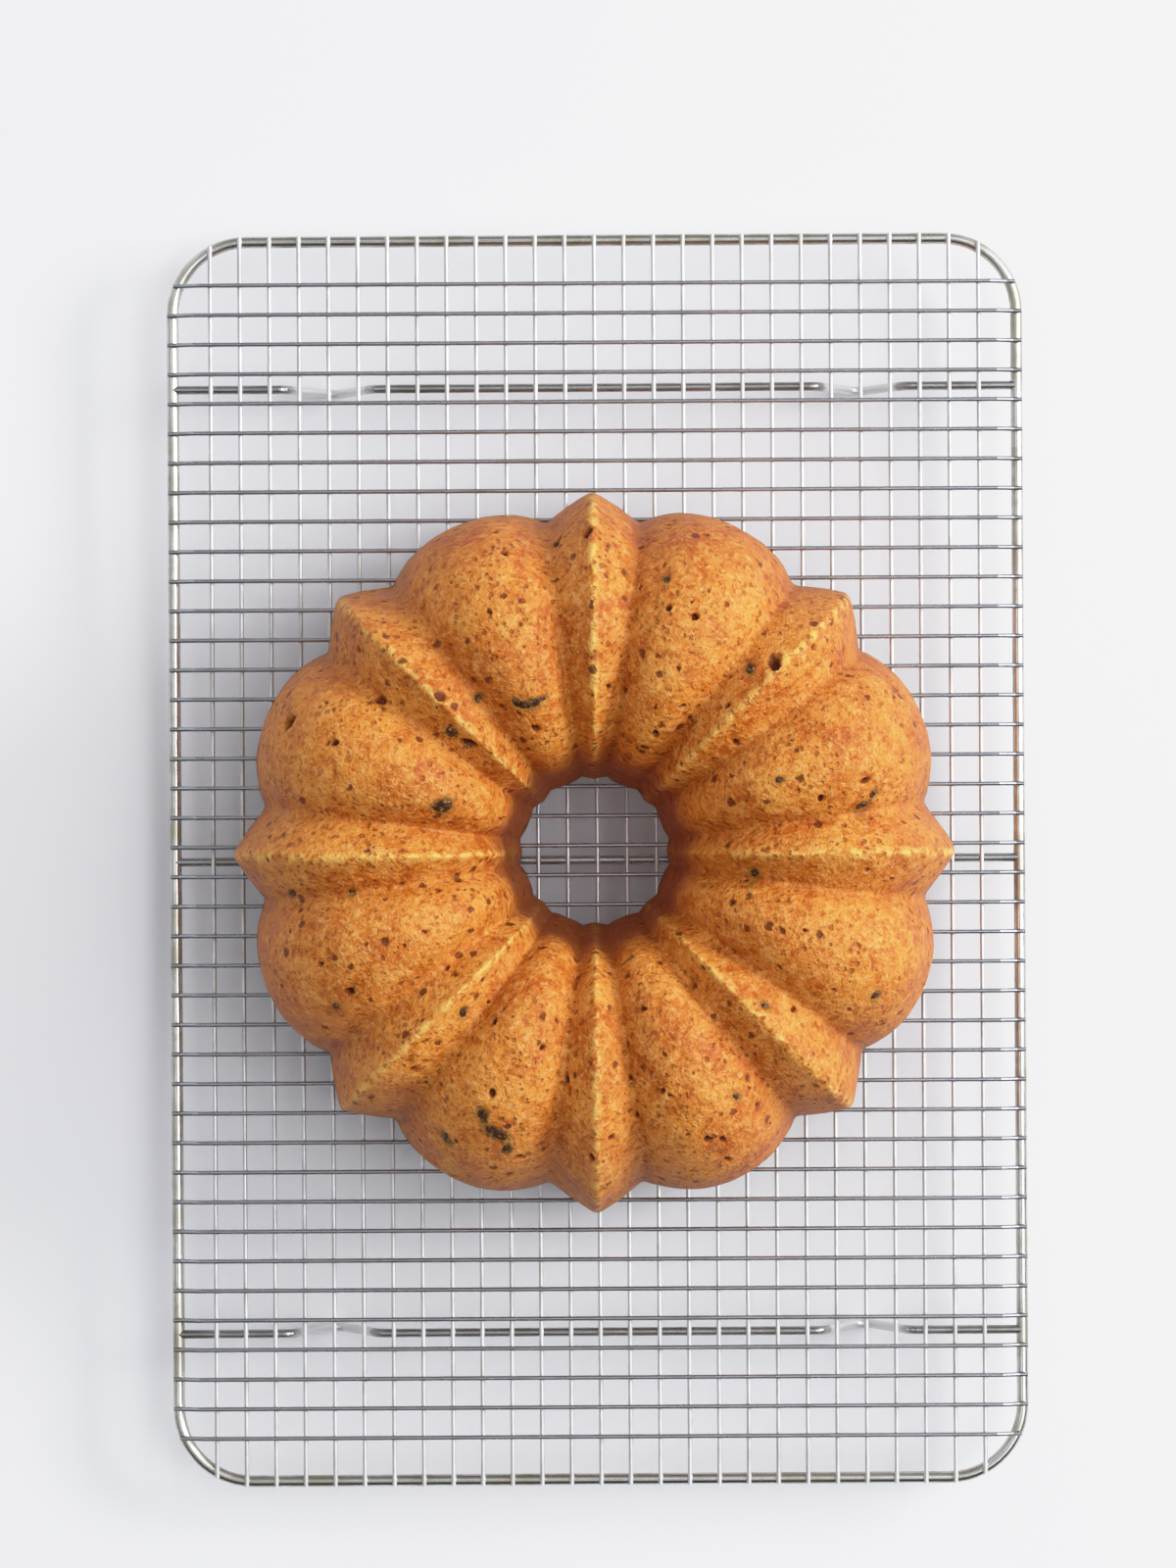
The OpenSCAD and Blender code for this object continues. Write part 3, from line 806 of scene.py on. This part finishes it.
def chocolate_material():
    s = Surface("chocolate")
    bloom = s.noise(1.5 * MM, 3.0, 0.65, 0.5)
    grain = s.noise(0.5 * MM, 2.0)
    colour = s.blend(s.fit(bloom, 0.48, 0.64), rgb(60, 30, 12), rgb(122, 90, 48))
    colour = s.paint(colour, [
        (bloom, 0.60, 0.72, 1.0, (170, 144, 108)),
        (grain, 0.5, 0.8, 0.4, (86, 62, 26))
    ])
    s.set(Base_Color=colour, Roughness=s.fit(bloom, 0.3, 0.7, 0.4, 0.6),
          Specular_IOR_Level=0.25, Normal=s.bump(grain, 0.15 * MM))
    return s.material


# The scale of a wire's noise along it, beside that across it, which draws it out into lines
LINE_SQUEEZE = 0.06
# The height over which a foot goes from stained to a painted bright highlight
GLINT_REACH = 2.5 * MM


def steel_material(name, clean, stained, along, least_rough, glint_below=None):
    """Drawn steel wire, its fine lines along one axis, with patches of baked-on stain. Below
    the height given last it is painted bright and rougher: a painted highlight on the feet."""
    s = Surface(name)
    squeeze = [LINE_SQUEEZE if axis == along else 1.0 for axis in "xyz"]
    lines = s.noise(0.35 * MM, 2.0, 0.6, place=s.stretched(*squeeze))
    stain = s.noise(17 * MM, 3.0, 0.6)
    colour = s.blend(s.fit(stain, 0.42, 0.68), clean, stained)
    colour = s.paint(colour, [(lines, 0.5, 0.8, 0.35, (90, 86, 78))])
    rough = s.fit(stain, 0.3, 0.7, least_rough, least_rough + 0.12)
    if glint_below:
        split = s.tree.nodes.new("ShaderNodeSeparateXYZ")
        s.put(split.inputs[0], s.place)
        # Painted highlight: the feet are made bright below this height.
        foot_glint = s.fit(split.outputs["Z"], glint_below, glint_below - GLINT_REACH)
        colour = s.blend(foot_glint, colour, rgb(222, 222, 222))
        rough = s.math("MULTIPLY_ADD", foot_glint, 0.25, rough)
    s.set(Base_Color=colour, Metallic=1.0, Roughness=rough, Normal=s.bump(lines, 0.02 * MM))
    return s.material


def floor_material():
    s = Surface("floor_paper")
    broad = s.noise(0.5, 2.0)
    tooth = s.noise(0.8 * MM, 2.0)
    colour = s.blend(s.fit(broad, 0.3, 0.7), (0.86, 0.865, 0.905, 1), (0.88, 0.885, 0.92, 1))
    s.set(Base_Color=colour, Roughness=0.6, Specular_IOR_Level=0.3,
          Normal=s.bump(tooth, 0.02 * MM))
    return s.material


def paint_node(name, material):
    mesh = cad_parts[name].data
    for index in range(len(mesh.materials)):
        mesh.materials[index] = material
    if not mesh.materials:
        mesh.materials.append(material)


# ---- Camera, light and floor ----

FLOOR_REACH = 12

# The camera looks straight down. Its height is above the rack's top.
CAMERA_HEIGHT = 1.5
CAMERA_SHIFT = Vector((-3.1 * MM, 25.7 * MM))
CAMERA_ROLL = math.radians(-0.36)
CAMERA_LENS = 101.9
CAMERA_SENSOR = 36

WINDOW_PLACE = (1.72, 0.45, 1.0)
WINDOW_TARGET = (0, 0, 0.05)
WINDOW_SIZE = (0.9, 0.5)
WINDOW_POWER = 30.5
WINDOW_COLOUR = (1.0, 0.985, 0.96)

# Brightness in the scene and as it is shown, up to the brightness that shows as white
FILM_CURVE = [(0.2, 0.2), (0.45, 0.45), (0.65, 0.64), (0.85, 0.78), (1.05, 0.87), (1.3, 0.92)]
FILM_WHITE = 1.7
FILM_WHITE_SHOWN = 0.97

# Each glow has an azimuth and an elevation in degrees, a strength and a narrowness
GLOWS = [
    (45, 24, 1.8, 10), (135, 20, 1.1, 10), (180, 16, 0.55, 10), (5, 66, 6.8, 20), (180, 70, 1.6, 20)
]
ROOM_LEAST = 0.05
ROOM_COLOUR = (0.96, 0.97, 1.0, 1)
# Where the overhead shade is full and where it ends, as angles from straight up
OVERHEAD_SHADE = (math.radians(6), math.radians(17))
# The share of the room's light that is left in the shade
SHADE_LEAST = 0.15


def set_film():
    """A camera's soft highlights: the brightest tones are eased off rather than cut."""
    view = bpy.context.scene.view_settings
    view.view_transform = "Standard"
    view.use_curve_mapping = True
    mapping = view.curve_mapping
    mapping.white_level = (FILM_WHITE, FILM_WHITE, FILM_WHITE)
    combined = 3
    curve = mapping.curves[combined]
    for brightness, shown in FILM_CURVE:
        curve.points.new(brightness / FILM_WHITE, shown)
    curve.points[-1].location = (1, FILM_WHITE_SHOWN)
    mapping.update()


def add_camera():
    rack_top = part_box("long_wire_01")[1][2] + GRID_WIRE_D
    data = bpy.data.cameras.new("camera")
    data.sensor_width = CAMERA_SENSOR
    data.lens = CAMERA_LENS
    camera = add_object("camera", data)
    camera.location = (CAMERA_SHIFT.x, CAMERA_SHIFT.y, rack_top + CAMERA_HEIGHT)
    camera.rotation_euler = (0, 0, CAMERA_ROLL)
    bpy.context.scene.camera = camera


def add_window():
    """One soft window, low on the right."""
    data = bpy.data.lights.new("window", "AREA")
    data.shape = "RECTANGLE"
    data.size, data.size_y = WINDOW_SIZE
    data.energy = WINDOW_POWER
    data.color = WINDOW_COLOUR
    light = add_object("window", data)
    light.location = WINDOW_PLACE
    toward = Vector(WINDOW_TARGET) - Vector(WINDOW_PLACE)
    light.rotation_euler = toward.to_track_quat("-Z", "Y").to_euler()


def add_room():
    """The light that comes from all round: soft glows from both sides, and a dark patch
    straight overhead where the camera and its stand are in the way."""
    world = bpy.data.worlds.new("room")
    world.use_nodes = True
    tree = world.node_tree
    background = tree.nodes["Background"]
    toward = tree.nodes.new("ShaderNodeTexCoord").outputs["Generated"]

    def node(kind, operation, *values):
        made = tree.nodes.new(kind)
        made.operation = operation
        for socket, value in zip(made.inputs, values):
            if isinstance(value, bpy.types.NodeSocket):
                tree.links.new(value, socket)
            else:
                socket.default_value = value
        return made.outputs["Value"]

    def nearness(azimuth, elevation):
        level = math.cos(elevation)
        axis = (level * math.cos(azimuth), level * math.sin(azimuth), math.sin(elevation))
        return node("ShaderNodeVectorMath", "DOT_PRODUCT", toward, axis)

    total = ROOM_LEAST
    for azimuth, elevation, strength, narrowness in GLOWS:
        near = nearness(math.radians(azimuth), math.radians(elevation))
        fall = node("ShaderNodeMath", "MULTIPLY_ADD", near, narrowness, -narrowness)
        glow = node("ShaderNodeMath", "EXPONENT", fall)
        total = node("ShaderNodeMath", "MULTIPLY_ADD", glow, strength, total)
    shade = tree.nodes.new("ShaderNodeMapRange")
    shade.interpolation_type = "SMOOTHSTEP"
    tree.links.new(nearness(0, math.pi / 2), shade.inputs["Value"])
    shade.inputs["From Min"].default_value = math.cos(OVERHEAD_SHADE[1])
    shade.inputs["From Max"].default_value = math.cos(OVERHEAD_SHADE[0])
    shade.inputs["To Min"].default_value = 1
    shade.inputs["To Max"].default_value = SHADE_LEAST
    strength = node("ShaderNodeMath", "MULTIPLY", total, shade.outputs["Result"])
    tree.links.new(strength, background.inputs["Strength"])
    background.inputs["Color"].default_value = ROOM_COLOUR
    bpy.context.scene.world = world


def add_floor():
    bm = bmesh.new()
    bmesh.ops.create_grid(bm, x_segments=8, y_segments=8, size=FLOOR_REACH)
    mesh = bpy.data.meshes.new("floor")
    bm.to_mesh(mesh)
    bm.free()
    mesh.materials.append(floor_material())
    floor = add_object("floor", mesh)
    floor.location.z = cad_box[0][2]


# ---- The scene ----

set_film()
add_camera()
add_room()
add_window()
add_floor()

cake, grid, t = build_cake(crust_material(), crumb_material())
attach(cake, "cake")
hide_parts("cake_ring")

chocolate = chocolate_material()
chips = build_chips(grid, t, chocolate)
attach(chips, "cake")
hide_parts("surface_chips")
paint_node("baked_in_chips", chocolate)

rail_level = (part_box("centre_rail")[0][2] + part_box("centre_rail")[1][2]) / 2
# One steel, given a different brightness on the rim, the rails, the long wires and the cross wires:
# painted light and shade, lighter where the wires catch the light and darker where they don't.
rim_steel = steel_material("rim_steel", rgb(206, 205, 200), rgb(172, 168, 152), "y", 0.2)
rail_steel = steel_material("rail_steel", rgb(176, 176, 176), rgb(146, 142, 138), "x", 0.2,
                            rail_level - 1 * MM)
long_steel = steel_material("long_steel", rgb(220, 220, 222), rgb(204, 204, 202), "y", 0.46)
cross_steel = steel_material("cross_steel", rgb(190, 192, 198), rgb(168, 168, 170), "x", 0.2)
paint_node("rim_frame", rim_steel)
for name in ("foot_rail_front", "foot_rail_back", "centre_rail"):
    paint_node(name, rail_steel)
for name in nodes_called("long_wire"):
    paint_node(name, long_steel)
for name in nodes_called("cross_wire"):
    paint_node(name, cross_steel)

welds = build_welds(cross_steel)
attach(welds, "rack")
